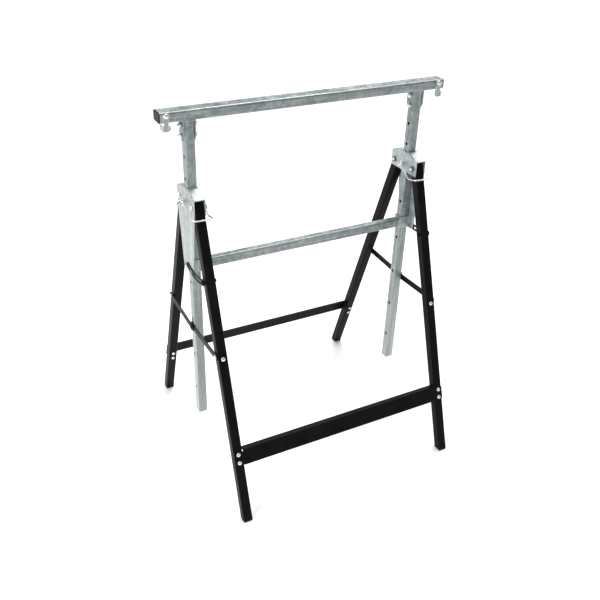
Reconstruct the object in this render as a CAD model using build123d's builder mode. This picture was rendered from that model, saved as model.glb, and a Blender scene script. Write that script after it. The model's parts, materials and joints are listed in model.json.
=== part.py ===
from build123d import *
import os
from math import asin, atan2, cos, degrees, hypot, sin, sqrt

# Folding sawhorse with a height-adjustable beam. A hollow beam stands on two drilled square posts.
# The posts slide through a centre frame of two head brackets, two collars and a cross bar.
# Two A-shaped leg frames swing from the head brackets, and jointed stays brace them apart.
#
# Millimetres. Origin on the floor, midway between the feet: +X along the beam, +Y rearward, +Z up.
# Pieces of the right-hand side are drawn at +X, and their left-hand twins are mirror images.

# Overall
BEAM_TOP = 900
BEAM_LENGTH = 690
FOOT_Y = 279.8
SIDE_X = 280.4

# Beam
BEAM_DEPTH = 34
BEAM_HEIGHT = 22
BEAM_RADIUS = 4.5
BEAM_BOTTOM = BEAM_TOP - BEAM_HEIGHT
CAP_THICKNESS = 3
CAP_PLUG_DEPTH = 7
BEAM_TUBE_END = BEAM_LENGTH / 2 - CAP_THICKNESS

# Square tube of the posts and legs
TUBE = 22
TUBE_RADIUS = 2.5
WALL = 1.5
PLUG_GAP = 0.15

# Fasteners: shank diameter, width across a hexagon's flats, and nut height
M8, M8_FLATS, M8_NUT = 8, 13, 5.5
M8_HEAD = 4
M6, M6_FLATS, M6_NUT = 6, 10, 4
M5, M5_FLATS, M5_NUT = 5, 8, 4
RIVET = 4
RIVET_HEAD = 1.5
RIVET_TAIL = 1.2
THREAD_GAP = 0.1
BOLT_HOLE_GAP = 0.4
DOME_TAPER = 25

# Sheet metal and running fits
SHEET = 2
SHEET_BEND = 2.5
SLIDE_GAP = 0.5
BEARING_GAP = 0.1
OUTER_FACE = SIDE_X + TUBE / 2
INNER_FACE = SIDE_X - TUBE / 2
SKIRT_FACE = OUTER_FACE + SLIDE_GAP
FLANGE_FACE = INNER_FACE - SLIDE_GAP
PLATE_OUT = SKIRT_FACE + SHEET
PLATE_IN = FLANGE_FACE - SHEET

# Posts: the pin holes are a hundred apart, with one extra between the upper two
POST_BOTTOM = 123
PIN_Z = 698.5
HOLE_PITCH = 100
HOLES_BELOW_PIN = 5
POST_HOLE = 8.5

# Saddle brackets that carry the beam on the posts
SADDLE_SHEET = 3
SADDLE_WEB = 2
SADDLE_DEPTH = 26
SADDLE_BOTTOM = 832.5
SADDLE_TAPER = (8, 14)
SADDLE_BOLT_Z = (866, 843)
WASHER = 1.5
LOCK_NUT = 6.5
POST_TOP = BEAM_BOTTOM - SADDLE_WEB

# Leg frames
PIVOT_Y = 38.1
PIVOT_Z = 698
LEG_ANGLE = atan2(FOOT_Y - PIVOT_Y, PIVOT_Z)
LEG_ABOVE_PIVOT = 14
FOOT_FLANGE = 4.5
FOOT_PLUG = 22

# Head brackets
HEAD_HALF = 51.5
HEAD_EAVES_Z = 719.5
HEAD_RIDGE_Z = 731
HEAD_FLANGE_Z = 682
HEAD_SLOPE = 0.3467
SKIRT_BOTTOM_Z = 529

# Slotted links on the skirts: a bolt in each front leg rides in them and limits how far the legs open
SLOT_BOLT_ALONG = 161.3
SLOT_WIDTH = 5.6
LINK_WIDTH = 15
SLOT_BOLT_HEAD = 11
SLOT_BOLT_SHOULDER = 8
LINK_REAR_Y = 2
LINK_FACE = PLATE_OUT + SHEET

# Guide collars and cross bar
COLLAR_Z = 530
COLLAR_HEIGHT = 29
COLLAR_TAB_Y = 25.5
RIVET_Y = 20
RIVET_Z = 538
CROSS_BAR_Z = 543
CROSS_BAR_DEPTH = 18

# Leg bars
FRONT_BAR_ALONG = 579.3
FRONT_BAR_WEB = 40
FRONT_BAR_FLANGE = 20
FRONT_BAR_INSIDE = 268
BAR_RADIUS = 4
REAR_BAR_ALONG = 577.7
REAR_BAR_WEB = 34
REAR_BAR_LIP = 4
FRONT_BOLT_SPACING = 20.5
REAR_BOLT_SPACING = 20

# Screws in the front faces of the front legs, beside the stays' rivets
LEG_SCREW_ALONG = 337.5
LEG_SCREW_LENGTH = 8
LEG_SCREW_HEAD = 2.5

# Stays: two strips a side that meet over the middle
STAY_LEG_Y = 146.5
STAY_LEG_Z = 385
STAY_MID_Z = 379
STAY_WIDTH = 15.5
STAY_MID_RADIUS = 11
STAY_RIVET = 6
STAY_HEAD = 2
STAY_GAP = 0.3
FRONT_STAY_X = OUTER_FACE + 2 * STAY_GAP
REAR_STAY_X = FRONT_STAY_X + SHEET + STAY_GAP + BEARING_GAP

# Lock pins and their wire bails
PIN_DIAMETER = 8
PIN_TIP_X = 254
PIN_SHOULDER_X = 306
PIN_END_X = 317
PIN_HEAD = 11
WIRE = 3.5
BAIL_OUTER_X = 302
BAIL_INNER_X = 257
BAIL_EYE = 12.1
BAIL_CROSSING = (-69, 681)
BAIL_SAG = (-40, 675)
BAIL_BEND = 10

# Flip-up stops at the beam's ends
STOP_X = 330
STOP_Z = 893
STOP_WIDTH = 17
STOP_NECK = 9
STOP_NECK_Z = (880, 874)
STOP_TOP = 899.5
STOP_BOTTOM = 861.5
STOP_FLANGE_TOP = 872.5
STOP_FLANGE_DEPTH = 20
STOP_BOLT_HEAD = 11
STOP_GAP = 0.3


def write(piece, name):
    """Label a finished piece and write its STEP file."""
    piece.part.label = name
    export_step(piece.part, f"parts/{name}.step")


def write_pair(right, name):
    """Write a right-hand piece and its mirror image on the left."""
    with BuildPart() as left:
        mirror(right.part, about=Plane.YZ)
    write(right, f"{name}_right")
    write(left, f"{name}_left")


def write_both_sides(right, name):
    """Write a right-hand piece and its mirror image as one group of solids."""
    with BuildPart() as group:
        add(right.part)
        mirror(right.part, about=Plane.YZ)
    write(group, name)


def side_plane(x, y=0, z=0, way=1):
    """Plane square to X with its Z pointing along +X (way 1) or -X (way -1)."""
    return Plane(origin=(x, y, z), x_dir=(0, 1, 0), z_dir=(way, 0, 0))


def leg_point(facing, x=0, along=0, out=0):
    """Point by a leg frame that faces -1 front or +1 rear: down from the pivot, and outwards."""
    down = Vector(0, facing * sin(LEG_ANGLE), -cos(LEG_ANGLE))
    outward = Vector(0, facing * cos(LEG_ANGLE), sin(LEG_ANGLE))
    return Vector(x, facing * PIVOT_Y, PIVOT_Z) + down * along + outward * out


def leg_section(facing, along):
    """Plane square to the right-hand leg, with its Z running down the leg and its Y outwards."""
    down = leg_point(facing, along=1) - leg_point(facing)
    return Plane(origin=leg_point(facing, SIDE_X, along), x_dir=(-facing, 0, 0), z_dir=down)


def bar_section(facing, along):
    """Plane across a leg bar at mid span, with its X running down the legs and its Y outwards."""
    down = leg_point(facing, along=1) - leg_point(facing)
    return Plane(origin=leg_point(facing, along=along), x_dir=down, z_dir=(facing, 0, 0))


def leg_face(facing, along, out, way=1, x=0):
    """Plane parallel to the leg frame's face, with its Z pointing outwards (way 1) or inwards."""
    outward = leg_point(facing, out=1) - leg_point(facing)
    return Plane(origin=leg_point(facing, x, along, out), x_dir=(1, 0, 0), z_dir=outward * way)


def drill(plane, points, diameter, reach):
    """Drill round holes through the open part, both ways from a plane."""
    with BuildSketch(plane) as holes:
        with Locations(*points):
            Circle(diameter / 2)
    extrude(holes.sketch, amount=reach, both=True, mode=Mode.SUBTRACT)


def disc(plane, diameter, height, taper=0):
    """Add a round disc or shank to the open part, standing on a plane."""
    with BuildSketch(plane) as outline:
        Circle(diameter / 2)
    extrude(outline.sketch, amount=height, taper=taper)


def hexagon(plane, across_flats, height, bore=0):
    """Add a bolt head, or a nut with a bore, to the open part, standing on a plane."""
    with BuildSketch(plane) as outline:
        RegularPolygon(across_flats / 2, 6, major_radius=False)
        if bore:
            Circle(bore / 2, mode=Mode.SUBTRACT)
    extrude(outline.sketch, amount=height)


def square_tube_section():
    """Draw the section of the posts and legs in the open sketch."""
    RectangleRounded(TUBE, TUBE, TUBE_RADIUS)
    RectangleRounded(TUBE - 2 * WALL, TUBE - 2 * WALL, TUBE_RADIUS - WALL, mode=Mode.SUBTRACT)


# Lift frame -------------------------------------------------------------------------------


def make_beam():
    with BuildPart() as beam:
        with BuildSketch(Plane.YZ.offset(-BEAM_TUBE_END)):
            with Locations((0, BEAM_TOP - BEAM_HEIGHT / 2)):
                RectangleRounded(BEAM_DEPTH, BEAM_HEIGHT, BEAM_RADIUS)
                RectangleRounded(
                    BEAM_DEPTH - 2 * WALL, BEAM_HEIGHT - 2 * WALL, BEAM_RADIUS - WALL, mode=Mode.SUBTRACT
                )
        extrude(amount=2 * BEAM_TUBE_END)
        drill(Plane.XZ, [(-STOP_X, STOP_Z), (STOP_X, STOP_Z)], M6 + BOLT_HOLE_GAP, BEAM_DEPTH)
    write(beam, "beam")


def make_beam_end_caps():
    plug_gap = WALL + PLUG_GAP
    with BuildPart() as cap:
        with BuildSketch(Plane.YZ.offset(BEAM_TUBE_END)):
            with Locations((0, BEAM_TOP - BEAM_HEIGHT / 2)):
                RectangleRounded(BEAM_DEPTH, BEAM_HEIGHT, BEAM_RADIUS)
        extrude(amount=CAP_THICKNESS)
        fillet(cap.faces().sort_by(Axis.X)[-1].edges(), CAP_THICKNESS / 2)
        with BuildSketch(Plane.YZ.offset(BEAM_TUBE_END)):
            with Locations((0, BEAM_TOP - BEAM_HEIGHT / 2)):
                RectangleRounded(
                    BEAM_DEPTH - 2 * plug_gap, BEAM_HEIGHT - 2 * plug_gap, BEAM_RADIUS - plug_gap
                )
                Rectangle(BEAM_DEPTH - 4 * plug_gap, BEAM_HEIGHT - 4 * plug_gap, mode=Mode.SUBTRACT)
        extrude(amount=-CAP_PLUG_DEPTH)
    write_pair(cap, "beam_end_cap")


def post_hole_heights():
    """Heights of the pin holes in a post, from the top down."""
    heights = [PIN_Z + HOLE_PITCH, PIN_Z + HOLE_PITCH / 2]
    for step in range(HOLES_BELOW_PIN + 1):
        heights.append(PIN_Z - step * HOLE_PITCH)
    return heights


def make_posts():
    with BuildPart() as post:
        with BuildSketch(Plane.XY.offset(POST_BOTTOM)):
            with Locations((SIDE_X, 0)):
                square_tube_section()
        extrude(amount=POST_TOP - POST_BOTTOM)
        drill(side_plane(SIDE_X), [(0, z) for z in post_hole_heights()], POST_HOLE, TUBE)
        drill(side_plane(SIDE_X), [(0, z) for z in SADDLE_BOLT_Z], M6 + BOLT_HOLE_GAP, TUBE)
    write_pair(post, "post")


def make_post_brackets():
    drop, rise = SADDLE_TAPER
    half = SADDLE_DEPTH / 2
    with BuildPart() as bracket:
        with BuildSketch(Plane.YZ.offset(INNER_FACE - SADDLE_SHEET)):
            with BuildLine():
                Polyline(
                    (-half, BEAM_BOTTOM),
                    (-half, SADDLE_BOTTOM + rise),
                    (-half + drop, SADDLE_BOTTOM),
                    (half - drop, SADDLE_BOTTOM),
                    (half, SADDLE_BOTTOM + rise),
                    (half, BEAM_BOTTOM),
                    close=True,
                )
            make_face()
        extrude(amount=TUBE + 2 * SADDLE_SHEET)
        with BuildSketch(Plane.XY.offset(POST_TOP)):
            with Locations((SIDE_X, 0)):
                Rectangle(TUBE, 2 * SADDLE_DEPTH)
        extrude(amount=SADDLE_BOTTOM - POST_TOP, mode=Mode.SUBTRACT)
        drill(side_plane(SIDE_X), [(0, z) for z in SADDLE_BOLT_Z], M6 + BOLT_HOLE_GAP, TUBE)
    write_pair(bracket, "post_bracket")


def make_bracket_fasteners():
    outer = OUTER_FACE + SADDLE_SHEET
    inner = INNER_FACE - SADDLE_SHEET
    with BuildPart() as bolts:
        for z in SADDLE_BOLT_Z:
            disc(side_plane(inner, 0, z, -1), 2 * M6 + 1, WASHER)
            hexagon(side_plane(inner - WASHER, 0, z, -1), M6_FLATS, M6_NUT)
            disc(side_plane(inner, 0, z), M6, outer - inner + LOCK_NUT + 2)
    write_both_sides(bolts, "bracket_bolts")
    with BuildPart() as nuts:
        for z in SADDLE_BOLT_Z:
            hexagon(side_plane(outer, 0, z), M6_FLATS, LOCK_NUT, M6 + THREAD_GAP)
    write_both_sides(nuts, "bracket_nuts")


def make_beam_stops():
    """Flip-up plate on the beam's front face: a waist, a round foot and a flange under the beam."""
    front = BEAM_DEPTH / 2 + STOP_GAP
    edge = STOP_X + STOP_WIDTH / 2
    half = STOP_WIDTH / 2
    neck = STOP_NECK / 2
    neck_top, neck_bottom = STOP_NECK_Z
    with BuildPart() as stop:
        with BuildSketch(Plane.XZ.offset(front)):
            with BuildLine():
                FilletPolyline(
                    (STOP_X - half, STOP_BOTTOM),
                    (STOP_X - half, neck_bottom),
                    (STOP_X - neck, neck_bottom),
                    (STOP_X - neck, neck_top),
                    (STOP_X - half, neck_top),
                    (STOP_X - half, STOP_TOP),
                    (STOP_X + half, STOP_TOP),
                    (STOP_X + half, neck_top),
                    (STOP_X + neck, neck_top),
                    (STOP_X + neck, neck_bottom),
                    (STOP_X + half, neck_bottom),
                    (STOP_X + half, STOP_BOTTOM),
                    radius=[6, 3, 1, 1, 3, 6, 6, 3, 1, 1, 0, 5],
                    close=True,
                )
            make_face()
        extrude(amount=SHEET)
        with BuildSketch(side_plane(edge - SHEET)):
            with Locations((STOP_FLANGE_DEPTH / 2 - front - SHEET, (STOP_BOTTOM + STOP_FLANGE_TOP) / 2)):
                Rectangle(STOP_FLANGE_DEPTH, STOP_FLANGE_TOP - STOP_BOTTOM)
        extrude(amount=SHEET)
        drill(Plane.XZ, [(STOP_X, STOP_Z)], M6 + BEARING_GAP, BEAM_DEPTH)
    write_pair(stop, "beam_stop")


def make_stop_fasteners():
    seat = BEAM_DEPTH / 2 + STOP_GAP + SHEET + BEARING_GAP
    front = Plane(origin=(STOP_X, -seat, STOP_Z), x_dir=(1, 0, 0), z_dir=(0, -1, 0))
    rear = Plane(origin=(STOP_X, BEAM_DEPTH / 2, STOP_Z), x_dir=(-1, 0, 0), z_dir=(0, 1, 0))
    with BuildPart() as bolts:
        disc(front, STOP_BOLT_HEAD, 3.5, taper=DOME_TAPER)
        disc(front, M6, -(seat + BEAM_DEPTH / 2 + M6_NUT + 1))
    write_both_sides(bolts, "stop_bolts")
    with BuildPart() as nuts:
        hexagon(rear, M6_FLATS, M6_NUT, M6 + THREAD_GAP)
    write_both_sides(nuts, "stop_nuts")


# Centre frame -----------------------------------------------------------------------------


def head_outline():
    """Outline of the head bracket's plates: straight sides under a gable with a flat ridge."""
    ridge = HEAD_HALF - (HEAD_RIDGE_Z - HEAD_EAVES_Z) / HEAD_SLOPE
    rear = [(ridge, HEAD_RIDGE_Z), (HEAD_HALF, HEAD_EAVES_Z), (HEAD_HALF, HEAD_FLANGE_Z)]
    return [(-y, z) for y, z in reversed(rear)] + rear


def head_hollow():
    """Outline of the hollow under the gable sheet, open at the front, rear and bottom."""
    past = 20
    fall = SHEET * hypot(1, HEAD_SLOPE)
    ridge = HEAD_HALF - (HEAD_RIDGE_Z - SHEET + fall - HEAD_EAVES_Z) / HEAD_SLOPE
    reach = HEAD_HALF + past
    eaves = HEAD_EAVES_Z - fall - past * HEAD_SLOPE
    rear = [(ridge, HEAD_RIDGE_Z - SHEET), (reach, eaves), (reach, HEAD_FLANGE_Z - past)]
    return [(-y, z) for y, z in reversed(rear)] + rear


def make_head_brackets():
    with BuildPart() as bracket:
        # Gable cover, bent down over both sides of the posts and legs
        with BuildSketch(Plane.YZ.offset(PLATE_IN)):
            with BuildLine():
                Polyline(*head_outline(), close=True)
            make_face()
        extrude(amount=PLATE_OUT - PLATE_IN)
        long_bends = bracket.edges().filter_by(Axis.X, reverse=True).filter_by_position(
            Axis.Z, HEAD_EAVES_Z + 1, HEAD_RIDGE_Z + 1
        )
        ridge_bends = bracket.edges().filter_by(Axis.X).group_by(Axis.Z)[-1]
        fillet(long_bends + ridge_bends, SHEET_BEND)
        with BuildSketch(Plane.YZ.offset(FLANGE_FACE)):
            with BuildLine():
                Polyline(*head_hollow(), close=True)
            make_face()
        extrude(amount=SKIRT_FACE - FLANGE_FACE, mode=Mode.SUBTRACT)
        # Opening that guides the post
        with BuildSketch(Plane.XY.offset(HEAD_RIDGE_Z)):
            with Locations((SIDE_X, 0)):
                Rectangle(TUBE + 2 * SLIDE_GAP, TUBE + 2 * SLIDE_GAP)
        extrude(amount=-2 * SHEET, mode=Mode.SUBTRACT)
        # Long outer skirt
        with BuildSketch(Plane.YZ.offset(SKIRT_FACE)):
            with BuildLine():
                FilletPolyline(
                    (HEAD_HALF, HEAD_FLANGE_Z + 10),
                    (HEAD_HALF, HEAD_FLANGE_Z),
                    (46, 640),
                    (40, 600),
                    (33, 545),
                    (29, SKIRT_BOTTOM_Z),
                    (-33, SKIRT_BOTTOM_Z),
                    (-34, 560),
                    (-40, 600),
                    (-46, 640),
                    (-HEAD_HALF, HEAD_FLANGE_Z),
                    (-HEAD_HALF, HEAD_FLANGE_Z + 10),
                    radius=[0, 0, 0, 0, 8, 4, 10, 0, 0, 0, 0, 0],
                    close=True,
                )
            make_face()
        extrude(amount=SHEET)
        pivots = [(-PIVOT_Y, PIVOT_Z), (PIVOT_Y, PIVOT_Z)]
        rivets = [(-RIVET_Y, RIVET_Z), (RIVET_Y, RIVET_Z), link_rivet_spot()]
        drill(side_plane(SIDE_X), pivots, M8 + 2 * BEARING_GAP, TUBE)
        drill(side_plane(SIDE_X), [(0, PIN_Z)], PIN_DIAMETER + 2 * BEARING_GAP, TUBE)
        drill(side_plane(PLATE_OUT), rivets, RIVET + THREAD_GAP, SHEET)
    write_pair(bracket, "head_bracket")


def link_rivet_spot():
    """The (y, z) place of a slotted link's rear rivet, on the arc of the slot bolt."""
    return (LINK_REAR_Y, PIVOT_Z - sqrt(SLOT_BOLT_ALONG**2 - (LINK_REAR_Y + PIVOT_Y) ** 2))


def make_slotted_links():
    """Curved strip on the skirt's outer face: riveted at its rear half and slotted at its front half."""
    centre = (-PIVOT_Y, PIVOT_Z)
    open_angle = degrees(LEG_ANGLE)
    rear_angle = degrees(asin((LINK_REAR_Y + PIVOT_Y) / SLOT_BOLT_ALONG))
    strip = CenterArc(centre, SLOT_BOLT_ALONG, 270 - open_angle, open_angle + rear_angle)
    slot = CenterArc(centre, SLOT_BOLT_ALONG, 270 - open_angle, open_angle)
    with BuildPart() as link:
        with BuildSketch(side_plane(PLATE_OUT)):
            SlotArc(strip, LINK_WIDTH)
            SlotArc(slot, SLOT_WIDTH, mode=Mode.SUBTRACT)
        extrude(amount=SHEET)
        drill(side_plane(PLATE_OUT), [(-RIVET_Y, RIVET_Z), link_rivet_spot()], RIVET + THREAD_GAP, SHEET)
    write_pair(link, "slotted_link")


def make_link_rivets():
    """Countersunk rivets, flush inside the skirts, at the rear of the slotted links."""
    y, z = link_rivet_spot()
    with BuildPart() as rivets:
        disc(side_plane(SKIRT_FACE, y, z), RIVET, LINK_FACE - SKIRT_FACE)
        disc(side_plane(LINK_FACE, y, z), 2 * RIVET, RIVET_HEAD, taper=20)
    write_both_sides(rivets, "link_rivets")


def make_guide_collars():
    """Strap bent round the front, inner and rear faces of a post, with tabs on the skirt."""
    inside = TUBE / 2 + SLIDE_GAP
    outside = inside + SHEET
    with BuildPart() as collar:
        with BuildSketch(Plane.XY.offset(COLLAR_Z)):
            with Locations((PLATE_IN, 0)):
                Rectangle(SKIRT_FACE - PLATE_IN, 2 * outside, align=(Align.MIN, Align.CENTER))
            with Locations((SKIRT_FACE - SHEET, 0)):
                Rectangle(SHEET, 2 * COLLAR_TAB_Y, align=(Align.MIN, Align.CENTER))
            with Locations((FLANGE_FACE, 0)):
                Rectangle(
                    SKIRT_FACE - FLANGE_FACE,
                    2 * inside,
                    align=(Align.MIN, Align.CENTER),
                    mode=Mode.SUBTRACT,
                )
        extrude(amount=COLLAR_HEIGHT)
        fillet(collar.edges().filter_by(Axis.Z).group_by(Axis.X)[0], SHEET)
        drill(side_plane(SKIRT_FACE), [(-RIVET_Y, RIVET_Z), (RIVET_Y, RIVET_Z)], RIVET + THREAD_GAP, SHEET)
    write_pair(collar, "guide_collar")


def make_collar_rivets():
    """Rivets through the collars' tabs and the skirts: the front ones hold the slotted links too."""
    inside = SKIRT_FACE - SHEET
    with BuildPart() as rivets:
        for y, outside in ((-RIVET_Y, LINK_FACE), (RIVET_Y, PLATE_OUT)):
            disc(side_plane(inside, y, RIVET_Z), RIVET, outside - inside)
            disc(side_plane(outside, y, RIVET_Z), 2 * RIVET, RIVET_HEAD, taper=20)
            disc(side_plane(inside, y, RIVET_Z, -1), 2 * RIVET - 1, RIVET_TAIL)
    write_both_sides(rivets, "collar_rivets")


def make_cross_bar():
    with BuildPart() as bar:
        with BuildSketch(Plane.YZ.offset(-PLATE_IN)):
            with Locations((0, CROSS_BAR_Z)):
                RectangleRounded(CROSS_BAR_DEPTH, TUBE, TUBE_RADIUS)
                RectangleRounded(
                    CROSS_BAR_DEPTH - 2 * WALL, TUBE - 2 * WALL, TUBE_RADIUS - WALL, mode=Mode.SUBTRACT
                )
        extrude(amount=2 * PLATE_IN)
    write(bar, "cross_bar")


def make_leg_pivots():
    with BuildPart() as bolts:
        for y in (-PIVOT_Y, PIVOT_Y):
            hexagon(side_plane(PLATE_OUT, y, PIVOT_Z), M8_FLATS, M8_HEAD)
            disc(side_plane(PLATE_OUT, y, PIVOT_Z, -1), M8, PLATE_OUT - PLATE_IN + M8_NUT + 1)
    write_both_sides(bolts, "leg_pivot_bolts")
    with BuildPart() as nuts:
        for y in (-PIVOT_Y, PIVOT_Y):
            hexagon(side_plane(PLATE_IN, y, PIVOT_Z, -1), M8_FLATS, M8_NUT, M8 + THREAD_GAP)
    write_both_sides(nuts, "leg_pivot_nuts")


# Lock pins --------------------------------------------------------------------------------


def make_lock_pins():
    with BuildPart() as pin:
        disc(side_plane(PIN_TIP_X, 0, PIN_Z), PIN_DIAMETER, PIN_END_X - PIN_TIP_X)
        disc(side_plane(PIN_SHOULDER_X, 0, PIN_Z), PIN_HEAD, PIN_END_X - PIN_SHOULDER_X)
        chamfer(pin.faces().sort_by(Axis.X)[0].edges(), 1)
        fillet(pin.faces().sort_by(Axis.X)[-1].edges(), 2)
    write_pair(pin, "lock_pin")


def eye_exit(x, towards):
    """Point on an eye's wire from which an arm sets off towards a (y, z) point."""
    dy = towards[0]
    dz = towards[1] - PIN_Z
    reach = BAIL_EYE / 2 / hypot(dy, dz)
    return (x, dy * reach, PIN_Z + dz * reach)


def make_lock_bails():
    """Wire bail: an eye round each end of the pin, and arms that meet in front of the leg."""
    with BuildPart() as bail:
        with BuildLine() as route:
            FilletPolyline(
                eye_exit(BAIL_OUTER_X, BAIL_CROSSING),
                (BAIL_OUTER_X, *BAIL_CROSSING),
                (BAIL_INNER_X, *BAIL_CROSSING),
                (BAIL_INNER_X, *BAIL_SAG),
                eye_exit(BAIL_INNER_X, BAIL_SAG),
                radius=BAIL_BEND,
            )
        with BuildSketch(Plane(origin=route.line @ 0, z_dir=route.line % 0)):
            Circle(WIRE / 2)
        sweep()
        with Locations((BAIL_OUTER_X, 0, PIN_Z), (BAIL_INNER_X, 0, PIN_Z)):
            Torus(BAIL_EYE / 2, WIRE / 2, rotation=(0, 90, 0))
    write_pair(bail, "lock_bail")


# Leg frames -------------------------------------------------------------------------------


def make_legs(facing, name, bolt_spacing, bar_along):
    with BuildPart() as leg:
        with BuildSketch(leg_section(facing, -LEG_ABOVE_PIVOT)):
            square_tube_section()
        extrude(amount=hypot(FOOT_Y, PIVOT_Z) + 2 * TUBE)
        split(bisect_by=Plane.XY.offset(FOOT_FLANGE), keep=Keep.TOP)
        drill(side_plane(SIDE_X), [(facing * PIVOT_Y, PIVOT_Z)], M8 + BEARING_GAP, TUBE)
        drill(side_plane(OUTER_FACE), [(facing * STAY_LEG_Y, STAY_LEG_Z)], STAY_RIVET + THREAD_GAP, TUBE / 2)
        if facing < 0:
            slot_bolt = leg_point(facing, along=SLOT_BOLT_ALONG)
            drill(side_plane(SIDE_X), [(slot_bolt.Y, slot_bolt.Z)], M5 + 2 * THREAD_GAP, TUBE)
            screw_face = leg_face(facing, LEG_SCREW_ALONG, TUBE / 2)
            drill(screw_face, [(SIDE_X, 0)], M5 + THREAD_GAP, 2 * WALL)
        spots = [(SIDE_X, -bolt_spacing / 2), (SIDE_X, bolt_spacing / 2)]
        drill(leg_face(facing, bar_along, 0), spots, M5 + 3 * THREAD_GAP, TUBE)
    write_pair(leg, f"{name}_leg")


def make_feet(facing, name):
    """Plastic foot: a flat flange under the tube and a plug inside it."""
    plug = TUBE - 2 * WALL - 2 * PLUG_GAP
    tube_end_y = FOOT_Y - FOOT_FLANGE * (FOOT_Y - PIVOT_Y) / PIVOT_Z
    with BuildPart() as foot:
        with BuildSketch(leg_section(facing, hypot(FOOT_Y - PIVOT_Y, PIVOT_Z) - FOOT_PLUG)):
            RectangleRounded(plug, plug, TUBE_RADIUS - WALL)
        extrude(amount=2 * FOOT_PLUG)
        split(bisect_by=Plane.XY.offset(FOOT_FLANGE), keep=Keep.TOP)
        with BuildSketch(Plane.XY):
            with Locations((SIDE_X, facing * tube_end_y)):
                RectangleRounded(TUBE, TUBE / cos(LEG_ANGLE), TUBE_RADIUS)
        extrude(amount=FOOT_FLANGE)
        fillet(foot.faces().sort_by(Axis.Z)[0].edges(), 1.2)
    write_pair(foot, f"foot_{name}")


def make_front_bar():
    """Channel across the front legs: its web on their faces, its flanges turned back between them."""
    face = TUBE / 2
    outer = face + WALL
    spots = []
    for x in (-SIDE_X, SIDE_X):
        spots += [(x, -FRONT_BOLT_SPACING / 2), (x, FRONT_BOLT_SPACING / 2)]
    with BuildPart() as bar:
        with BuildSketch(bar_section(-1, FRONT_BAR_ALONG)) as channel:
            with Locations((0, outer)):
                Rectangle(FRONT_BAR_WEB, FRONT_BAR_FLANGE, align=(Align.CENTER, Align.MAX))
            with Locations((0, face)):
                Rectangle(
                    FRONT_BAR_WEB - 2 * WALL,
                    FRONT_BAR_FLANGE,
                    align=(Align.CENTER, Align.MAX),
                    mode=Mode.SUBTRACT,
                )
            fillet(channel.vertices().group_by(Axis.Y)[-2], BAR_RADIUS - WALL)
            fillet(channel.vertices().group_by(Axis.Y)[-1], BAR_RADIUS)
        extrude(amount=FRONT_BAR_INSIDE, both=True)
        with BuildSketch(bar_section(-1, FRONT_BAR_ALONG)):
            with Locations((0, face + WALL / 2)):
                Rectangle(FRONT_BAR_WEB - 2 * BAR_RADIUS, WALL)
        extrude(amount=OUTER_FACE, both=True)
        drill(leg_face(-1, FRONT_BAR_ALONG, face), spots, M5 + 3 * THREAD_GAP, TUBE)
    write(bar, "front_bar")


def make_rear_bar():
    """Strip across the rear legs, with low lips along both edges."""
    face = TUBE / 2
    spots = []
    for x in (-SIDE_X, SIDE_X):
        spots += [(x, -REAR_BOLT_SPACING / 2), (x, REAR_BOLT_SPACING / 2)]
    with BuildPart() as bar:
        with BuildSketch(bar_section(1, REAR_BAR_ALONG)):
            with Locations((0, face)):
                Rectangle(REAR_BAR_WEB, REAR_BAR_LIP, align=(Align.CENTER, Align.MIN))
            with Locations((0, face + WALL)):
                Rectangle(
                    REAR_BAR_WEB - 2 * WALL,
                    REAR_BAR_LIP,
                    align=(Align.CENTER, Align.MIN),
                    mode=Mode.SUBTRACT,
                )
        extrude(amount=OUTER_FACE, both=True)
        drill(leg_face(1, REAR_BAR_ALONG, face), spots, M5 + 3 * THREAD_GAP, TUBE)
    write(bar, "rear_bar")


def make_bar_fasteners(facing, name, bar_along, spacing):
    """Bolts through a bar and its legs, with round heads on the bar and nuts behind the legs."""
    head = TUBE / 2 + WALL
    with BuildPart() as bolts:
        for offset in (-spacing / 2, spacing / 2):
            disc(leg_face(facing, bar_along + offset, head, 1, SIDE_X), 2 * M5, 3, taper=DOME_TAPER)
            disc(leg_face(facing, bar_along + offset, head, -1, SIDE_X), M5, head + TUBE / 2 + M5_NUT + 1)
    write_both_sides(bolts, f"{name}_bar_bolts")
    with BuildPart() as nuts:
        for offset in (-spacing / 2, spacing / 2):
            nut_face = leg_face(facing, bar_along + offset, -TUBE / 2, -1, SIDE_X)
            hexagon(nut_face, M5_FLATS, M5_NUT, M5 + THREAD_GAP)
    write_both_sides(nuts, f"{name}_bar_nuts")


def make_slot_bolts():
    """Shouldered bolts on the front legs that ride in the slotted links."""
    centre = leg_point(-1, along=SLOT_BOLT_ALONG)
    head_seat = LINK_FACE + SLIDE_GAP
    shoulder = PLATE_OUT - OUTER_FACE - SLIDE_GAP
    with BuildPart() as bolts:
        disc(side_plane(head_seat, centre.Y, centre.Z), SLOT_BOLT_HEAD, 3, taper=DOME_TAPER)
        disc(side_plane(OUTER_FACE, centre.Y, centre.Z), SLOT_BOLT_SHOULDER, shoulder)
        disc(side_plane(head_seat, centre.Y, centre.Z, -1), M5, head_seat - INNER_FACE + M5_NUT + 1)
    write_both_sides(bolts, "slot_bolts")
    with BuildPart() as nuts:
        hexagon(side_plane(INNER_FACE, centre.Y, centre.Z, -1), M5_FLATS, M5_NUT, M5 + THREAD_GAP)
    write_both_sides(nuts, "slot_nuts")


def make_leg_screws():
    with BuildPart() as screws:
        disc(leg_face(-1, LEG_SCREW_ALONG, TUBE / 2, 1, SIDE_X), 2 * M5, LEG_SCREW_HEAD, taper=DOME_TAPER)
        disc(leg_face(-1, LEG_SCREW_ALONG, TUBE / 2, -1, SIDE_X), M5, LEG_SCREW_LENGTH)
    write_both_sides(screws, "leg_screws")


# Stays ------------------------------------------------------------------------------------


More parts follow.
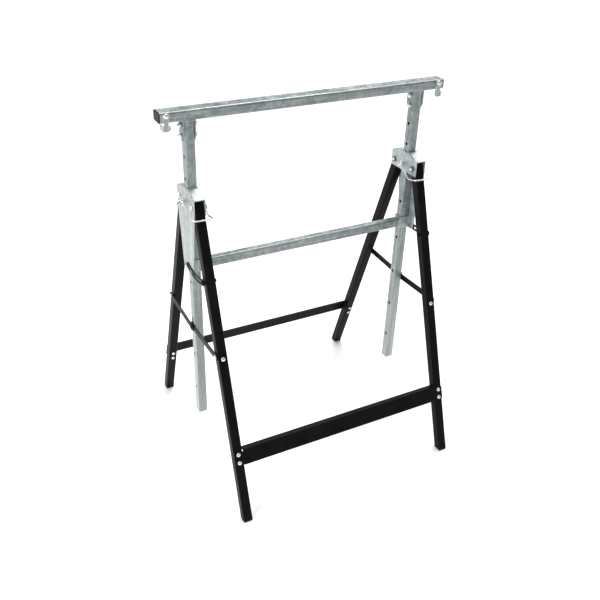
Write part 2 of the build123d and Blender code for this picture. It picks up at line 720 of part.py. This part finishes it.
def make_stays(facing, name, x):
    """Strip from a rivet on a leg to the middle joint."""
    leg_end = (facing * STAY_LEG_Y, STAY_LEG_Z)
    middle = (0, STAY_MID_Z)
    centre = ((leg_end[0] + middle[0]) / 2, (leg_end[1] + middle[1]) / 2)
    with BuildPart() as stay:
        with BuildSketch(side_plane(x)):
            SlotCenterPoint(centre, middle, STAY_WIDTH)
            with Locations(middle):
                Circle(STAY_MID_RADIUS)
        extrude(amount=SHEET)
        drill(side_plane(x), [leg_end, middle], STAY_RIVET + BEARING_GAP, 2 * SHEET)
    write_pair(stay, f"stay_{name}")


def make_stay_leg_rivets():
    """Rivets from the legs' outer walls: the rear ones have a shoulder that sets their stay further out."""
    inner_wall = OUTER_FACE - WALL
    for facing, name, stay_x in ((-1, "front", FRONT_STAY_X), (1, "rear", REAR_STAY_X)):
        y = facing * STAY_LEG_Y
        end = stay_x + SHEET + STAY_GAP
        with BuildPart() as rivet:
            disc(side_plane(inner_wall, y, STAY_LEG_Z, -1), 1.5 * STAY_RIVET, STAY_HEAD)
            disc(side_plane(inner_wall, y, STAY_LEG_Z), STAY_RIVET, end - inner_wall)
            disc(side_plane(OUTER_FACE, y, STAY_LEG_Z), 10, stay_x - OUTER_FACE - 2 * BEARING_GAP)
            disc(side_plane(end, y, STAY_LEG_Z), 11, STAY_HEAD, taper=DOME_TAPER)
        write_both_sides(rivet, f"{name}_stay_rivets")


def make_stay_mid_rivets():
    """Rivet of the middle joint, set in the rear stay, which is the outer one of the pair."""
    with BuildPart() as rivet:
        disc(side_plane(REAR_STAY_X, 0, STAY_MID_Z), STAY_RIVET, SHEET)
        disc(side_plane(REAR_STAY_X + SHEET, 0, STAY_MID_Z), 2 * STAY_RIVET, STAY_HEAD, taper=DOME_TAPER)
    write_pair(rivet, "stay_mid_rivet")


os.makedirs("parts", exist_ok=True)

make_beam()
make_beam_end_caps()
make_posts()
make_post_brackets()
make_bracket_fasteners()
make_beam_stops()
make_stop_fasteners()
make_head_brackets()
make_slotted_links()
make_link_rivets()
make_guide_collars()
make_collar_rivets()
make_cross_bar()
make_leg_pivots()
make_lock_pins()
make_lock_bails()
make_legs(-1, "front", FRONT_BOLT_SPACING, FRONT_BAR_ALONG)
make_legs(1, "rear", REAR_BOLT_SPACING, REAR_BAR_ALONG)
make_feet(-1, "front")
make_feet(1, "rear")
make_front_bar()
make_rear_bar()
make_bar_fasteners(-1, "front", FRONT_BAR_ALONG, FRONT_BOLT_SPACING)
make_bar_fasteners(1, "rear", REAR_BAR_ALONG, REAR_BOLT_SPACING)
make_slot_bolts()
make_leg_screws()
make_stays(-1, "front", FRONT_STAY_X)
make_stays(1, "rear", REAR_STAY_X)
make_stay_leg_rivets()
make_stay_mid_rivets()
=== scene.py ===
import json
import math

import bmesh
import bpy
from mathutils import Matrix, Vector


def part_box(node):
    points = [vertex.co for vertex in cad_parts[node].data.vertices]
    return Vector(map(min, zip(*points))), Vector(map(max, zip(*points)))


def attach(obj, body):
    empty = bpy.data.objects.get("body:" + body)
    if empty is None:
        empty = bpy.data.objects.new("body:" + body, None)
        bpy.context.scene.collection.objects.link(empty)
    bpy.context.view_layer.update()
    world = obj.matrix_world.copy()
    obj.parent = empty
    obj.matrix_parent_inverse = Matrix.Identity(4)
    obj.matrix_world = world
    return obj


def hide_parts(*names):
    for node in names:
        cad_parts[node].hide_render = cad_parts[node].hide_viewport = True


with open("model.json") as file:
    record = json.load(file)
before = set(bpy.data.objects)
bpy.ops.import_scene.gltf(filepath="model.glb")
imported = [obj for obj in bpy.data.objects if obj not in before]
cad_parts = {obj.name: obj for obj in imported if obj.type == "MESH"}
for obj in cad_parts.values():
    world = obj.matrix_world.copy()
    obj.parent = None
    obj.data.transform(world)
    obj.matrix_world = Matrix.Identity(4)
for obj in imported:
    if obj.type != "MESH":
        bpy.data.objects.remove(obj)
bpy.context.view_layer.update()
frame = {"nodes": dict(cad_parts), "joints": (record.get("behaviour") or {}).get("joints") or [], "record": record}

# Metres, in the frame's own axes: +X along the beam, +Y rearward, +Z up.
MM = 0.001


# Shader helpers ---------------------------------------------------------------------------


def shader(tree, kind, settings=None, **sockets):
    """Add a node. A socket's value is a constant or the output that feeds it."""
    made = tree.nodes.new("ShaderNode" + kind)
    for name, value in (settings or {}).items():
        setattr(made, name, value)
    for name, value in sockets.items():
        plug(tree, made.inputs[name.replace("_", " ")], value)
    return made


def plug(tree, socket, value):
    if isinstance(value, bpy.types.NodeSocket):
        tree.links.new(value, socket)
    else:
        socket.default_value = value


def calculate(tree, operation, *values):
    """Math node on one or two values."""
    made = tree.nodes.new("ShaderNodeMath")
    made.operation = operation
    for socket, value in zip(made.inputs, values):
        plug(tree, socket, value)
    return made.outputs[0]


def spread(tree, value, low, high, to_low, to_high):
    """Map a value from one range to another, clamped."""
    made = shader(tree, "MapRange", None, Value=value, From_Min=low, From_Max=high)
    made.inputs["To Min"].default_value = to_low
    made.inputs["To Max"].default_value = to_high
    return made.outputs[0]


def blend_colours(tree, factor, first, second):
    """Mix two colours by a factor."""
    made = tree.nodes.new("ShaderNodeMix")
    made.data_type = "RGBA"
    plug(tree, made.inputs["Factor"], factor)
    plug(tree, made.inputs[6], first)
    plug(tree, made.inputs[7], second)
    return made.outputs[2]


def new_material(name):
    """A material with a Principled shader, and the position on the object in metres."""
    material = bpy.data.materials.new(name)
    material.use_nodes = True
    tree = material.node_tree
    surface = tree.nodes["Principled BSDF"]
    position = shader(tree, "TexCoord").outputs["Object"]
    return material, tree, surface, position


def noise(tree, position, size, detail=3, roughness=0.55, stretch=(1, 1, 1)):
    """Noise whose features are about `size` metres, drawn out along an axis by `stretch`."""
    scale = [1 / (size * s) for s in stretch]
    placed = shader(tree, "Mapping", None, Vector=position, Scale=scale).outputs[0]
    made = shader(tree, "TexNoise", None, Vector=placed, Scale=1.0, Detail=detail, Roughness=roughness)
    return made.outputs[0]


def edge_wear(tree, radius):
    """1 on edges sharper than the radius, 0 on flat surfaces."""
    rounded = shader(tree, "Bevel", {"samples": 4}, Radius=radius).outputs[0]
    normal = shader(tree, "NewGeometry").outputs["Normal"]
    product = tree.nodes.new("ShaderNodeVectorMath")
    product.operation = "DOT_PRODUCT"
    tree.links.new(rounded, product.inputs[0])
    tree.links.new(normal, product.inputs[1])
    return spread(tree, product.outputs["Value"], 0.99, 0.85, 0, 1)


# Materials --------------------------------------------------------------------------------


def galvanised(name, grain, dark, light, painted_light_height=0):
    """Galvanised steel: crystals a few millimetres across, dull patches and rubbed lines.

    A tube's low end, from the given height above the floor down, is painted lighter: painted light, brighter
    towards the floor.
    """
    material, tree, surface, position = new_material(name)
    warp = noise(tree, position, 0.004, 2)
    pushed = tree.nodes.new("ShaderNodeVectorMath")
    pushed.operation = "MULTIPLY_ADD"
    plug(tree, pushed.inputs[0], warp)
    pushed.inputs[1].default_value = (0.004, 0.004, 0.004)
    plug(tree, pushed.inputs[2], position)
    crystals = shader(tree, "TexVoronoi", None, Vector=pushed.outputs[0], Scale=1 / 0.009)
    tone = shader(tree, "SeparateColor", None, Color=crystals.outputs["Color"]).outputs[0]
    patches = noise(tree, position, 0.07, 4)
    rubbed = noise(tree, position, 0.0012, 2, 0.5, grain)
    lines = spread(tree, rubbed, 0.60, 0.72, 0, 1)
    wear = edge_wear(tree, 0.0012)

    tone_part = calculate(tree, "MULTIPLY", tone, 0.4)
    shade = calculate(tree, "ADD", tone_part, calculate(tree, "MULTIPLY", patches, 0.7))
    base = blend_colours(tree, spread(tree, shade, 0.25, 0.85, 0, 1), dark, light)
    # Painted light: a lighter colour blended in towards the tube's low end, by height above the floor
    if painted_light_height:
        height = shader(tree, "SeparateXYZ", None, Vector=position).outputs[2]
        painted_light_tone = blend_colours(tree, 0.3, (0.50, 0.52, 0.505, 1), base)
        base = blend_colours(tree, spread(tree, height, 0.15, painted_light_height, 1, 0), base, painted_light_tone)
    drawn = noise(tree, position, 0.0045, 3, 0.55, grain)
    streaked = blend_colours(tree, spread(tree, drawn, 0.42, 0.62, 0.4, 0), base, (0.105, 0.125, 0.13, 1))
    lined = blend_colours(tree, calculate(tree, "MULTIPLY", lines, 0.45), streaked, (0.60, 0.62, 0.61, 1))
    worn = blend_colours(tree, calculate(tree, "MULTIPLY", wear, 0.6), lined, (0.6, 0.62, 0.62, 1))
    plug(tree, surface.inputs["Base Color"], worn)
    surface.inputs["Metallic"].default_value = 0.6
    dull = spread(tree, patches, 0.35, 0.7, 0.30, 0.44)
    rough = calculate(tree, "ADD", dull, calculate(tree, "MULTIPLY", tone, 0.12))
    polish = calculate(tree, "MULTIPLY", lines, 0.08)
    plug(tree, surface.inputs["Roughness"], calculate(tree, "SUBTRACT", rough, polish))
    grit = noise(tree, position, 0.0008, 2)
    steps = calculate(tree, "MULTIPLY", tone, 0.6)
    relief = calculate(tree, "ADD", steps, calculate(tree, "MULTIPLY", grit, 0.4))
    bump = shader(tree, "Bump", None, Strength=0.25, Distance=0.00008, Height=relief)
    tree.links.new(bump.outputs[0], surface.inputs["Normal"])
    return material


def zinc_plated(name, cold, warm, shine):
    """Zinc plating on fasteners and wire, a little cloudy, with a warm and a cold tint."""
    material, tree, surface, position = new_material(name)
    cloud = noise(tree, position, 0.006, 3)
    fine = noise(tree, position, 0.0006, 2)
    wear = edge_wear(tree, 0.0005)
    tint = blend_colours(tree, spread(tree, cloud, 0.35, 0.65, 0, 1), cold, warm)
    worn = blend_colours(tree, calculate(tree, "MULTIPLY", wear, 0.4), tint, (0.85, 0.86, 0.85, 1))
    plug(tree, surface.inputs["Base Color"], worn)
    surface.inputs["Metallic"].default_value = 0.9
    plug(tree, surface.inputs["Roughness"], spread(tree, fine, 0.3, 0.7, shine, shine + 0.14))
    bump = shader(tree, "Bump", None, Strength=0.15, Distance=0.00005, Height=fine)
    tree.links.new(bump.outputs[0], surface.inputs["Normal"])
    return material


def powder_coat():
    """Satin black powder coat: orange peel, fine dust, and edges rubbed greyer."""
    material, tree, surface, position = new_material("black_powder_coat")
    peel = noise(tree, position, 0.0011, 2, 0.45)
    dust = noise(tree, position, 0.05, 5, 0.7)
    scuffs = spread(tree, noise(tree, position, 0.0016, 3, 0.6, (6, 6, 1)), 0.66, 0.78, 0, 1)
    wear = edge_wear(tree, 0.0009)
    base = blend_colours(
        tree, spread(tree, dust, 0.3, 0.75, 0, 1), (0.0022, 0.0023, 0.0026, 1), (0.0065, 0.0066, 0.007, 1)
    )
    scuffed = blend_colours(tree, calculate(tree, "MULTIPLY", scuffs, 0.25), base, (0.030, 0.031, 0.033, 1))
    worn = blend_colours(tree, calculate(tree, "MULTIPLY", wear, 0.55), scuffed, (0.05, 0.051, 0.053, 1))
    plug(tree, surface.inputs["Base Color"], worn)
    surface.inputs["Specular IOR Level"].default_value = 0.05
    satin = spread(tree, dust, 0.3, 0.75, 0.34, 0.46)
    rough = calculate(tree, "ADD", satin, calculate(tree, "MULTIPLY", scuffs, 0.1))
    plug(tree, surface.inputs["Roughness"], rough)
    bump = shader(tree, "Bump", None, Strength=0.35, Distance=0.00012, Height=peel)
    tree.links.new(bump.outputs[0], surface.inputs["Normal"])
    return material


def moulded_plastic():
    """Black moulded plastic with a fine spark-eroded grain."""
    material, tree, surface, position = new_material("moulded_plastic")
    grain = noise(tree, position, 0.0005, 2, 0.5)
    mottle = noise(tree, position, 0.012, 3)
    base = blend_colours(
        tree, spread(tree, mottle, 0.3, 0.7, 0, 1), (0.006, 0.006, 0.0065, 1), (0.012, 0.012, 0.013, 1)
    )
    plug(tree, surface.inputs["Base Color"], base)
    surface.inputs["Specular IOR Level"].default_value = 0.25
    plug(tree, surface.inputs["Roughness"], spread(tree, mottle, 0.3, 0.7, 0.48, 0.6))
    bump = shader(tree, "Bump", None, Strength=0.5, Distance=0.0001, Height=grain)
    tree.links.new(bump.outputs[0], surface.inputs["Normal"])
    return material


# How much longer than wide a rubbed line is, and the height where the posts' painted light starts, lighter towards
# their low ends
LONG = 40
PAINTED_LIGHT_HEIGHT = 0.62
ALONG_X = (LONG, 1, 1)
ALONG_Z = (1, 1, LONG)
materials = {
    "beam": galvanised("galvanised_beam", ALONG_X, (0.16, 0.19, 0.195, 1), (0.38, 0.41, 0.41, 1)),
    "post": galvanised("galvanised_post", ALONG_Z, (0.15, 0.185, 0.19, 1), (0.35, 0.385, 0.385, 1), PAINTED_LIGHT_HEIGHT),
    "sheet": galvanised("galvanised_sheet", ALONG_Z, (0.29, 0.32, 0.32, 1), (0.54, 0.58, 0.58, 1)),
    "zinc": zinc_plated("zinc_plated", (0.58, 0.62, 0.65, 1), (0.74, 0.73, 0.68, 1), 0.2),
    "dull_zinc": zinc_plated("zinc_dull", (0.11, 0.125, 0.13, 1), (0.20, 0.205, 0.20, 1), 0.36),
    "black_paint": powder_coat(),
    "black_plastic": moulded_plastic(),
}


def finish_of(node, slot):
    """The material of a node: galvanised tubes are rubbed along their length, and sheet is brighter."""
    if slot != "galvanised":
        return materials[slot]
    if node in ("beam", "cross_bar"):
        return materials["beam"]
    return materials["post" if node.startswith("post_") else "sheet"]


for subpart in frame["record"]["subparts"]:
    cad = frame["nodes"][subpart["node"]]
    cad.data.materials.clear()
    cad.data.materials.append(finish_of(subpart["node"], subpart["material_slot"]))


# Fasteners: turned meshes with threads and chamfers, on the axes of the CAD's solids --------

# Facets round a turned piece
SIDES = 36
M5, M5_PITCH, M5_FLATS, M5_HEAD = 5 * MM, 0.8 * MM, 8 * MM, 10 * MM
M6, M6_PITCH, M6_FLATS, M6_HEAD = 6 * MM, 1 * MM, 10 * MM, 11 * MM
M8, M8_PITCH, M8_FLATS = 8 * MM, 1.25 * MM, 13 * MM
HEX_HEAD_HEIGHT = 4 * MM
WASHER = 1.5 * MM
LOCK_COLLAR = 1.8 * MM
BAR_BOLT_HEIGHT = 3 * MM
RIVET, RIVET_HEIGHT, RIVET_HEAD = 4 * MM, 1.5 * MM, 8 * MM
RIVET_TAIL_HEIGHT, RIVET_TAIL = 1.2 * MM, 7 * MM


def rings_to_faces(bm, rings, closed):
    """Skin a stack of rings, with flat ends, or as a loop when closed."""
    for low, high in zip(rings, rings[1:] + (rings[:1] if closed else [])):
        for i in range(SIDES):
            j = (i + 1) % SIDES
            bm.faces.new((low[i], low[j], high[j], high[i]))
    if not closed:
        bm.faces.new(list(reversed(rings[0])))
        bm.faces.new(rings[-1])


def ring_at(bm, place, height, reaches):
    """Ring of vertices at a height, each at its own reach from the axis."""
    ring = []
    for i, reach in enumerate(reaches):
        angle = 2 * math.pi * i / SIDES
        ring.append(bm.verts.new(place @ Vector((reach * math.cos(angle), reach * math.sin(angle), height))))
    return ring


def turned_rings(bm, place, stations):
    """Rings of a turned or hexagonal solid: a height, a radius, and the flats' half width if it has any."""
    rings = []
    for height, radius, *half in stations:
        reaches = [radius] * SIDES
        if half:
            for i in range(SIDES):
                corner = (2 * math.pi * i / SIDES + math.pi / 6) % (math.pi / 3) - math.pi / 6
                reaches[i] = min(radius, half[0] / math.cos(corner))
        rings.append(ring_at(bm, place, height, reaches))
    return rings


def thread_rings(bm, place, end, radius, pitch):
    """Rings of a screw thread from the tip, which is chamfered, up to a height."""
    depth = 0.6 * pitch
    rows = 6
    count = int(end / pitch * rows)
    rings = []
    for row in range(count + 1):
        height = end * row / count
        tip = max(0, 1 - height / pitch)
        runout = max(0, 1 - (end - height) / pitch)
        reaches = []
        for i in range(SIDES):
            groove = abs(2 * ((height / pitch + i / SIDES) % 1) - 1) * (1 - runout)
            reaches.append(radius - depth * max(groove, tip))
        rings.append(ring_at(bm, place, height, reaches))
    return rings


def dome(base, height, radius, steps=6):
    """Stations of a rounded head on a low straight rim."""
    rim = 0.25 * height
    stations = [(base, radius)]
    for step in range(steps):
        angle = math.pi / 2 * step / steps
        stations.append((base + rim + (height - rim) * math.sin(angle), radius * math.cos(angle)))
    stations.append((base + height, 0.06 * radius))
    return stations


def hex_head(base, height, flats):
    """Stations of a hexagon head on a thin washer face, with its corners turned off at the top."""
    half = flats / 2
    corner = half / math.cos(math.pi / 6)
    face = 0.4 * MM
    return [
        (base, 0.95 * half),
        (base + face, 0.95 * half),
        (base + face, corner, half),
        (base + height - 0.13 * flats, corner, half),
        (base + height - 0.02 * flats, 0.95 * half, half),
        (base + height, 0.86 * half, half),
    ]


def nut_ring(base, height, flats, bore, collar=0):
    """Stations of a nut as a closed loop: chamfered hexagon, and a round collar if it is a lock nut."""
    half = flats / 2
    corner = half / math.cos(math.pi / 6)
    chamfer = 0.11 * flats
    top = base + height - collar
    stations = [
        (base, bore),
        (base, 0.9 * half, half),
        (base + chamfer, corner, half),
        (top - chamfer, corner, half),
        (top, 0.92 * half, half),
    ]
    if collar:
        stations += [(top, 0.84 * half), (top + 0.6 * collar, 0.84 * half), (top + collar, 0.7 * half)]
    return stations + [(base + height, bore + 0.1 * half), (base + height - 0.1 * half, bore)]


def loose_parts(node):
    """The vertices of each separate solid of a CAD node."""
    bm = bmesh.new()
    bm.from_mesh(frame["nodes"][node].data)
    bm.transform(frame["nodes"][node].matrix_world)
    bmesh.ops.remove_doubles(bm, verts=bm.verts, dist=0.001 * MM)
    reached = set()
    parts = []
    for first in bm.verts:
        if first in reached:
            continue
        reached.add(first)
        found = [first]
        for vertex in found:
            for edge in vertex.link_edges:
                other = edge.other_vert(vertex)
                if other not in reached:
                    reached.add(other)
                    found.append(other)
        parts.append([vertex.co.copy() for vertex in found])
    bm.free()
    return parts


def seat(points, way):
    """Frame on a solid's axis at its far end from the head, with Z towards the head, and its length."""
    along = [point.dot(way) for point in points]
    low = min(along)
    middle = sum((point - way * point.dot(way) for point in points), Vector()) / len(points)
    turned = way.to_track_quat("Z", "Y").to_matrix().to_4x4()
    return Matrix.Translation(middle + way * low) @ turned, max(along) - low


def outwards(points):
    """Away from the middle of the sawhorse along X, for a solid at these points."""
    return Vector((math.copysign(1, points[0].x), 0, 0))


def inwards(points):
    return -outwards(points)


def to_front(points):
    return Vector((0, -1, 0))


def to_rear(points):
    return Vector((0, 1, 0))


def bar_way(bar):
    """Outward direction of a leg bar, from the lean of its bolts."""
    low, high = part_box(bar)
    facing = math.copysign(1, low[1] + high[1])
    return lambda points: Vector((0, facing * math.cos(LEAN), math.sin(LEAN)))


def turned_back(way):
    """The opposite of a fastener's way."""
    return lambda points: -way(points)


def hex_bolt(size, pitch, flats, head, grip, washer=0):
    """Maker of a bolt with a threaded end of a given length and a hexagon head, with or without a washer."""

    def make(bm, place, length):
        base = length - head
        stations = [(base - washer, size / 2)]
        if washer:
            rim = 0.2 * washer
            stations += [(base - washer, size), (base - washer + rim, 1.08 * size), (base, 1.04 * size)]
        stations += hex_head(base, head, flats)
        rings = thread_rings(bm, place, grip, size / 2, pitch) + turned_rings(bm, place, stations)
        rings_to_faces(bm, rings, False)

    return make


def dome_bolt(size, pitch, head, width, grip):
    """Maker of a bolt with a rounded head and a threaded end of a given length."""

    def make(bm, place, length):
        stations = [(length - head, size / 2)] + dome(length - head, head, width / 2)
        rings = thread_rings(bm, place, grip, size / 2, pitch) + turned_rings(bm, place, stations)
        rings_to_faces(bm, rings, False)

    return make


def nut(flats, bore, collar=0):
    """Maker of a nut whose thread bites the bolt."""

    def make(bm, place, length):
        stations = nut_ring(0, length, flats, 0.46 * bore, collar)
        rings_to_faces(bm, turned_rings(bm, place, stations), True)

    return make


def rivet(size, head, width, tail=0, tail_width=0):
    """Maker of a rivet with a rounded head and a flat tail, or none."""

    def make(bm, place, length):
        stations = [(0, size / 2), (length - head, size / 2)]
        if tail:
            half = tail_width / 2
            stations[:1] = [(0, 0.84 * half), (0.3 * tail, half), (tail, half), (tail, size / 2)]
        stations += dome(length - head, head, width / 2)
        rings_to_faces(bm, turned_rings(bm, place, stations), False)

    return make


def finish_mesh(name, bm, body, material, sharp=math.radians(32)):
    """Object from a bmesh, smooth except at edges sharper than the angle, riding on a body."""
    bmesh.ops.recalc_face_normals(bm, faces=bm.faces)
    for face in bm.faces:
        face.smooth = True
    for edge in bm.edges:
        if len(edge.link_faces) == 2 and edge.calc_face_angle() > sharp:
            edge.smooth = False
    mesh = bpy.data.meshes.new(name)
    bm.to_mesh(mesh)
    bm.free()
    mesh.materials.append(material)
    piece = bpy.data.objects.new(name, mesh)
    bpy.context.scene.collection.objects.link(piece)
    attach(piece, body)
    return piece


LEAN = math.radians(frame["joints"][0]["range_deg"][1])
body_of = {node: body for body, nodes in frame["record"]["behaviour"]["bodies"].items() for node in nodes}
slot_of = {subpart["node"]: subpart["material_slot"] for subpart in frame["record"]["subparts"]}
front_way = bar_way("front_bar")
rear_way = bar_way("rear_bar")
fasteners = {
    "bracket_bolts": (inwards, hex_bolt(M6, M6_PITCH, M6_FLATS, HEX_HEAD_HEIGHT, 12 * MM, WASHER)),
    "bracket_nuts": (outwards, nut(M6_FLATS, M6, LOCK_COLLAR)),
    "stop_bolts": (to_front, dome_bolt(M6, M6_PITCH, 3.5 * MM, M6_HEAD, 8 * MM)),
    "stop_nuts": (to_rear, nut(M6_FLATS, M6)),
    "leg_pivot_bolts": (outwards, hex_bolt(M8, M8_PITCH, M8_FLATS, HEX_HEAD_HEIGHT, 9 * MM)),
    "leg_pivot_nuts": (inwards, nut(M8_FLATS, M8)),
    "collar_rivets": (outwards, rivet(RIVET, RIVET_HEIGHT, RIVET_HEAD, RIVET_TAIL_HEIGHT, RIVET_TAIL)),
    "link_rivets": (outwards, rivet(RIVET, RIVET_HEIGHT, RIVET_HEAD)),
    "front_bar_bolts": (front_way, dome_bolt(M5, M5_PITCH, BAR_BOLT_HEIGHT, M5_HEAD, 7 * MM)),
    "front_bar_nuts": (turned_back(front_way), nut(M5_FLATS, M5)),
    "rear_bar_bolts": (rear_way, dome_bolt(M5, M5_PITCH, BAR_BOLT_HEIGHT, M5_HEAD, 7 * MM)),
    "rear_bar_nuts": (turned_back(rear_way), nut(M5_FLATS, M5)),
    "slot_bolts": (outwards, dome_bolt(M5, M5_PITCH, BAR_BOLT_HEIGHT, M6_HEAD, 6 * MM)),
    "slot_nuts": (inwards, nut(M5_FLATS, M5)),
    "leg_screws": (front_way, dome_bolt(M5, M5_PITCH, 2.5 * MM, M5_HEAD, 5 * MM)),
}
for node, (way, maker) in fasteners.items():
    group = bmesh.new()
    for points in loose_parts(node):
        place, length = seat(points, way(points))
        maker(group, place, length)
    dull = node in ("leg_pivot_nuts", "collar_rivets")
    material = materials["dull_zinc"] if dull else materials[slot_of[node]]
    piece = finish_mesh(f"turned_{node}", group, body_of[node], material)
    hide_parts(node)


# Welds ------------------------------------------------------------------------------------


SADDLE_BEAD = 2 * MM
CROSS_BAR_BEAD = 1.7 * MM
BEAD_RIPPLE = 2.2 * MM
BEAD_TAPER = 1.5 * MM


def weld_bead(bm, start, end, radius):
    """Rippled bead of weld along a straight seam, tapered at both ends."""
    run = end - start
    steps = int(run.length / (0.5 * MM))
    turned = run.to_track_quat("Z", "Y").to_matrix().to_4x4()
    stations = []
    for step in range(steps + 1):
        along = run.length * step / steps
        ends = min(1, along / BEAD_TAPER + 0.3, (run.length - along) / BEAD_TAPER + 0.3)
        wave = 1 + 0.10 * math.sin(2 * math.pi * along / BEAD_RIPPLE)
        wave += 0.05 * math.sin(9.1 * along / BEAD_RIPPLE)
        stations.append((along, radius * ends * wave))
    rings_to_faces(bm, turned_rings(bm, Matrix.Translation(start) @ turned, stations), False)


def seam_loop(bm, corners, radius):
    """Beads along the sides of a closed outline."""
    for start, end in zip(corners, corners[1:] + corners[:1]):
        weld_bead(bm, start, end, radius)


def make_welds():
    """Beads at the saddles under the beam, and round the ends of the cross bar."""
    saddles = bmesh.new()
    for side in ("left", "right"):
        low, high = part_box(f"post_bracket_{side}")
        for x in (low[0], high[0]):
            start = Vector((x, low[1] + SADDLE_BEAD, high[2]))
            end = Vector((x, high[1] - SADDLE_BEAD, high[2]))
            weld_bead(saddles, start, end, SADDLE_BEAD)
    finish_mesh("saddle_welds", saddles, body_of["beam"], materials["sheet"])
    bar_ends = bmesh.new()
    low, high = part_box("cross_bar")
    inset = 1.5 * MM
    for x in (low[0], high[0]):
        corners = [
            Vector((x, low[1], low[2] + inset)),
            Vector((x, low[1], high[2] - inset)),
            Vector((x, high[1], high[2] - inset)),
            Vector((x, high[1], low[2] + inset)),
        ]
        seam_loop(bar_ends, corners, CROSS_BAR_BEAD)
    finish_mesh("cross_bar_welds", bar_ends, body_of["cross_bar"], materials["sheet"])


make_welds()


# Stage ------------------------------------------------------------------------------------


def make_floor():
    """Pale, slightly mottled studio floor, large enough to reach the horizon."""
    mesh = bpy.data.meshes.new("floor")
    half = 30
    corners = [(-half, -half, 0), (half, -half, 0), (half, half, 0), (-half, half, 0)]
    mesh.from_pydata(corners, [], [(0, 1, 2, 3)])
    floor = bpy.data.objects.new("floor", mesh)
    bpy.context.scene.collection.objects.link(floor)
    material, tree, surface, position = new_material("studio_floor")
    tone = spread(tree, noise(tree, position, 0.6, 2), 0.3, 0.7, 0.86, 0.89)
    grey = shader(tree, "CombineColor", None, Red=tone, Green=tone, Blue=tone).outputs[0]
    plug(tree, surface.inputs["Base Color"], grey)
    surface.inputs["Roughness"].default_value = 0.8
    mesh.materials.append(material)


def area_light(name, place, aim, size, power):
    """Square soft box that shines from one point towards another."""
    lamp = bpy.data.lights.new(name, "AREA")
    lamp.size = size
    lamp.energy = power
    light = bpy.data.objects.new(name, lamp)
    light.location = place
    light.rotation_euler = (Vector(aim) - Vector(place)).to_track_quat("-Z", "Y").to_euler()
    bpy.context.scene.collection.objects.link(light)


def sun_light(name, place, strength, spread_angle):
    """Soft directional light from a place towards the origin."""
    lamp = bpy.data.lights.new(name, "SUN")
    lamp.energy = strength
    lamp.angle = math.radians(spread_angle)
    light = bpy.data.objects.new(name, lamp)
    light.rotation_euler = Vector(place).to_track_quat("Z", "Y").to_euler()
    bpy.context.scene.collection.objects.link(light)


def make_world(strength):
    """Even white surround: dim as a light, and full white where the background itself is seen."""
    world = bpy.data.worlds.new("studio")
    world.use_nodes = True
    tree = world.node_tree
    surround = tree.nodes["Background"]
    surround.inputs["Color"].default_value = (1, 1, 1, 1)
    seen = shader(tree, "LightPath").outputs["Is Camera Ray"]
    plug(tree, surround.inputs["Strength"], spread(tree, seen, 0, 1, strength, 1))
    bpy.context.scene.world = world


def make_camera():
    """Camera at the front left and above, aimed at the middle of the sawhorse."""
    azimuth = math.radians(-28.41)
    elevation = math.radians(31.53)
    roll = math.radians(1.97)
    aim = Vector((-0.0072, 0, 0.3777))
    distance = 1.870
    right = Vector((math.cos(azimuth), math.sin(azimuth), 0))
    back = Vector(
        (
            math.sin(azimuth) * math.cos(elevation),
            -math.cos(azimuth) * math.cos(elevation),
            math.sin(elevation),
        )
    )
    up = back.cross(right)
    across = right * math.cos(roll) + up * math.sin(roll)
    upward = up * math.cos(roll) - right * math.sin(roll)
    lens = bpy.data.cameras.new("camera")
    lens.sensor_width = 36
    lens.lens = 44.54
    camera = bpy.data.objects.new("camera", lens)
    turned = Matrix((across, upward, back)).transposed().to_4x4()
    camera.matrix_world = Matrix.Translation(aim + back * distance) @ turned
    bpy.context.scene.collection.objects.link(camera)
    bpy.context.scene.camera = camera


make_floor()
area_light("key", (-1.75, -0.45, 1.3), (-0.1, 0, 0.5), 1.1, 34)
sun_light("top", (0.25, 0.3, 1), 2.7, 50)
area_light("gable", (1.3, 1.5, 3.2), (0, 0, 0.6), 1.2, 38)
make_world(0.38)
make_camera()
bpy.context.scene.view_settings.view_transform = "Standard"
